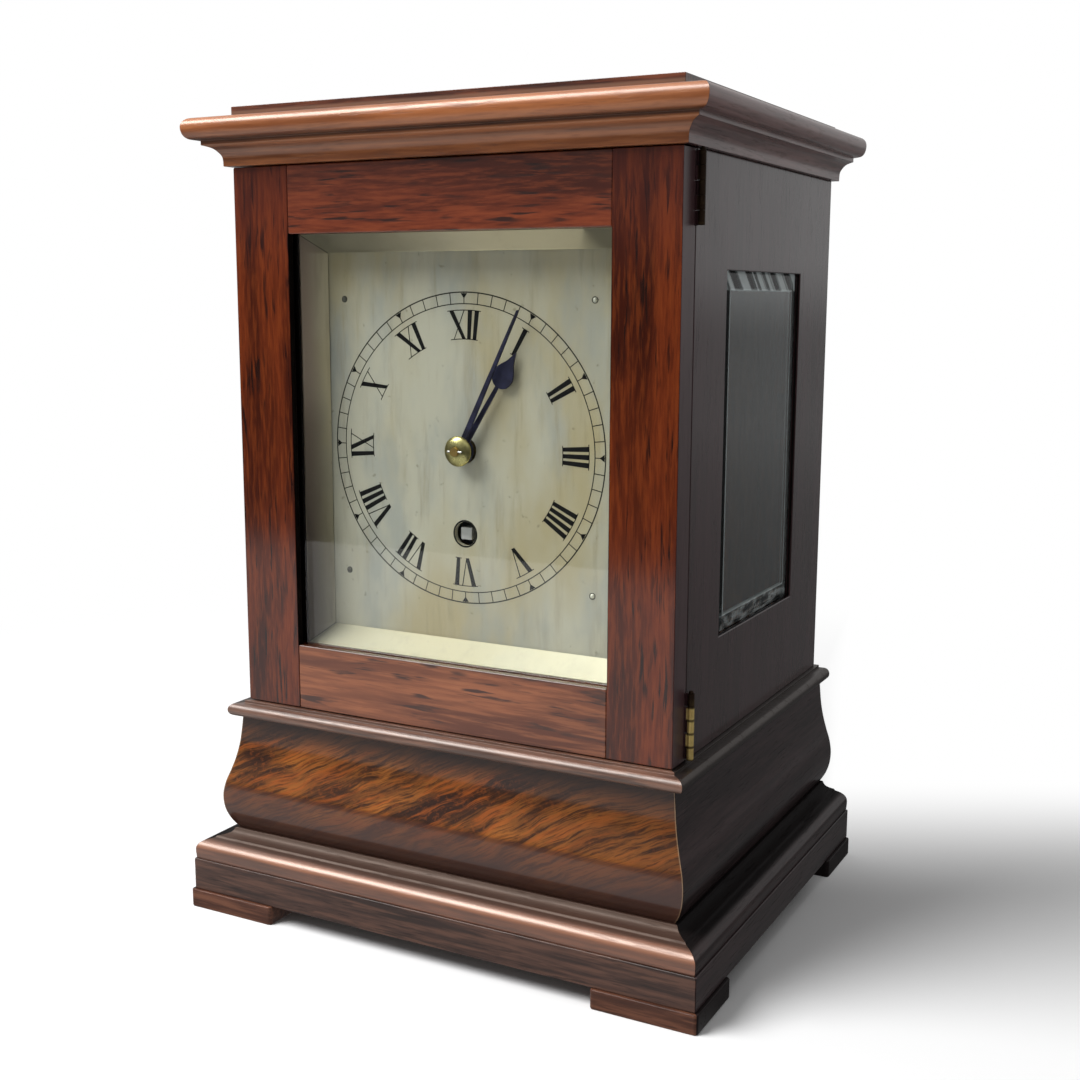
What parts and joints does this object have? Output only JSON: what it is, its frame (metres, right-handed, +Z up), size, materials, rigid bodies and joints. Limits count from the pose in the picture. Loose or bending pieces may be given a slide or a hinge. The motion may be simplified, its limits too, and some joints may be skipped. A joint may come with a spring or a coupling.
{
  "type": "library clock",
  "caption": "Mantel library clock: rosewood case with ogee base and glazed sides, hinged glazed front door over a silvered rectangular dial, pendulum movement inside",
  "frame": {"origin": "middle of the overall footprint, on the plane the feet stand on", "axes": "+X to the clock's right as seen from the front, -Y toward the viewer of the dial, +Z up"},
  "size_m": [0.18, 0.149, 0.2572],
  "materials": {
    "foot_wood": "dark stained, satin",
    "plinth_wood": "dark rosewood veneer, polished",
    "inner_wood": "plain mahogany, oiled",
    "moulding_wood": "rosewood moulding, polished",
    "figured_rosewood": "figured rosewood veneer, french polished",
    "side_rosewood": "dark rosewood veneer, polished",
    "cornice_wood": "rosewood cross-grain moulding, polished",
    "door_rosewood": "streaked rosewood veneer, polished",
    "clear_glass": "clear, bevelled at the sides",
    "silvered_brass": "silvered, brushed, slightly tarnished",
    "old_brass": "aged brass",
    "plate_brass": "polished brass",
    "blued_steel": "blued steel",
    "steel": "polished steel"
  },
  "bodies": {
    "case": {"feet": "foot_wood", "plinth_front": "plinth_wood", "plinth_left": "plinth_wood", "plinth_right": "plinth_wood", "base_back": "inner_wood", "plinth_moulding_front": "moulding_wood", "plinth_moulding_left": "moulding_wood", "plinth_moulding_right": "moulding_wood", "ogee_front": "figured_rosewood", "ogee_left": "figured_rosewood", "ogee_right": "figured_rosewood", "waist_board": "moulding_wood", "left_side": "side_rosewood", "right_side": "side_rosewood", "cornice_front": "cornice_wood", "cornice_left": "cornice_wood", "cornice_right": "cornice_wood", "top_panel": "side_rosewood", "seat_board": "inner_wood", "side_glass_left": "clear_glass", "side_glass_right": "clear_glass", "dial_plate": "silvered_brass", "hinge_case_leaves": "old_brass", "hinge_pins": "old_brass", "dial_feet": "old_brass", "front_plate": "plate_brass", "back_plate": "plate_brass", "plate_pillars": "plate_brass", "back_cock": "plate_brass"},
    "front_door": {"door_stile_left": "door_rosewood", "door_stile_right": "door_rosewood", "door_rail_top": "door_rosewood", "door_rail_bottom": "door_rosewood", "door_glass": "clear_glass", "dial_surround": "silvered_brass", "hinge_door_leaves": "old_brass"},
    "rear_door": {"rear_door_frame": "side_rosewood", "rear_door_panel": "inner_wood", "rear_door_pivots": "old_brass"},
    "rear_turn": {"rear_door_turn": "old_brass"},
    "centre": {"centre_wheel": "plate_brass", "cannon_pinion": "steel", "minute_hand": "blued_steel", "hand_collet": "old_brass", "hand_pin": "steel"},
    "hour": {"hour_wheel": "plate_brass", "hour_hand": "blued_steel"},
    "motion_wheel": {"minute_wheel": "plate_brass"},
    "going_barrel": {"barrel": "plate_brass", "mainspring": "blued_steel"},
    "winding": {"barrel_arbor": "steel", "ratchet_wheel": "steel"},
    "click_lever": {"click": "steel"},
    "intermediate": {"intermediate_wheel": "plate_brass"},
    "third": {"third_wheel": "plate_brass"},
    "escape": {"escape_wheel": "plate_brass"},
    "pallet": {"pallets": "steel"},
    "pendulum": {"suspension_spring": "steel", "pendulum_rod": "steel", "pendulum_bob": "plate_brass"}
  },
  "joints": [
    {"name": "minute_hand_turn", "type": "hinge", "parent": "case", "child": "centre", "pos_m": [0, 0, 0.15415], "axis": [0, 1, 0], "continuous": true},
    {"name": "hour_hand_turn", "type": "hinge", "parent": "case", "child": "hour", "pos_m": [0, 0, 0.15415], "axis": [0, 1, 0], "continuous": true},
    {"name": "minute_wheel_turn", "type": "hinge", "parent": "case", "child": "motion_wheel", "pos_m": [0.0109, 0, 0.16047], "axis": [0, 1, 0], "continuous": true},
    {"name": "barrel_turn", "type": "hinge", "parent": "case", "child": "going_barrel", "pos_m": [0, 0, 0.1285], "axis": [0, 1, 0], "continuous": true},
    {"name": "intermediate_turn", "type": "hinge", "parent": "case", "child": "intermediate", "pos_m": [0.01766, 0, 0.14476], "axis": [0, 1, 0], "continuous": true},
    {"name": "third_turn", "type": "hinge", "parent": "case", "child": "third", "pos_m": [-0.009, 0, 0.17056], "axis": [0, 1, 0], "continuous": true},
    {"name": "escape_turn", "type": "hinge", "parent": "case", "child": "escape", "pos_m": [0, 0, 0.18456], "axis": [0, 1, 0], "continuous": true},
    {"name": "winding_turn", "type": "hinge", "parent": "case", "child": "winding", "pos_m": [0, 0, 0.1285], "axis": [0, 1, 0], "continuous": true},
    {"name": "click_lift", "type": "hinge", "parent": "case", "child": "click_lever", "pos_m": [-0.01015, 0, 0.139], "axis": [0, 1, 0], "range_deg": [0, 12]},
    {"name": "pendulum_swing", "type": "hinge", "parent": "case", "child": "pendulum", "pos_m": [0, 0, 0.19996], "axis": [0, 1, 0], "range_deg": [-3, 3]},
    {"name": "pallet_rock", "type": "hinge", "parent": "case", "child": "pallet", "pos_m": [0, 0, 0.19996], "axis": [0, 1, 0], "range_deg": [-3, 3]},
    {"name": "front_door_swing", "type": "hinge", "parent": "case", "child": "front_door", "pos_m": [0.0766, -0.05035, 0.15415], "axis": [0, 0, 1], "range_deg": [0, 110]},
    {"name": "rear_door_swing", "type": "hinge", "parent": "case", "child": "rear_door", "pos_m": [-0.0652, 0.069, 0.15415], "axis": [0, 0, 1], "range_deg": [0, 90]},
    {"name": "rear_turn_swing", "type": "hinge", "parent": "rear_door", "child": "rear_turn", "pos_m": [0.0602, 0.069, 0.15415], "axis": [0, 1, 0], "range_deg": [0, 90]}
  ],
  "couplings": [
    {"joint": "hour_hand_turn", "follows": "minute_hand_turn", "ratio": 0.083333},
    {"joint": "minute_wheel_turn", "follows": "minute_hand_turn", "ratio": -0.33333},
    {"joint": "barrel_turn", "follows": "minute_hand_turn", "ratio": 0.020408},
    {"joint": "intermediate_turn", "follows": "minute_hand_turn", "ratio": -0.14286},
    {"joint": "third_turn", "follows": "minute_hand_turn", "ratio": -12},
    {"joint": "escape_turn", "follows": "minute_hand_turn", "ratio": 144},
    {"joint": "pallet_rock", "follows": "pendulum_swing", "ratio": 1}
  ]
}
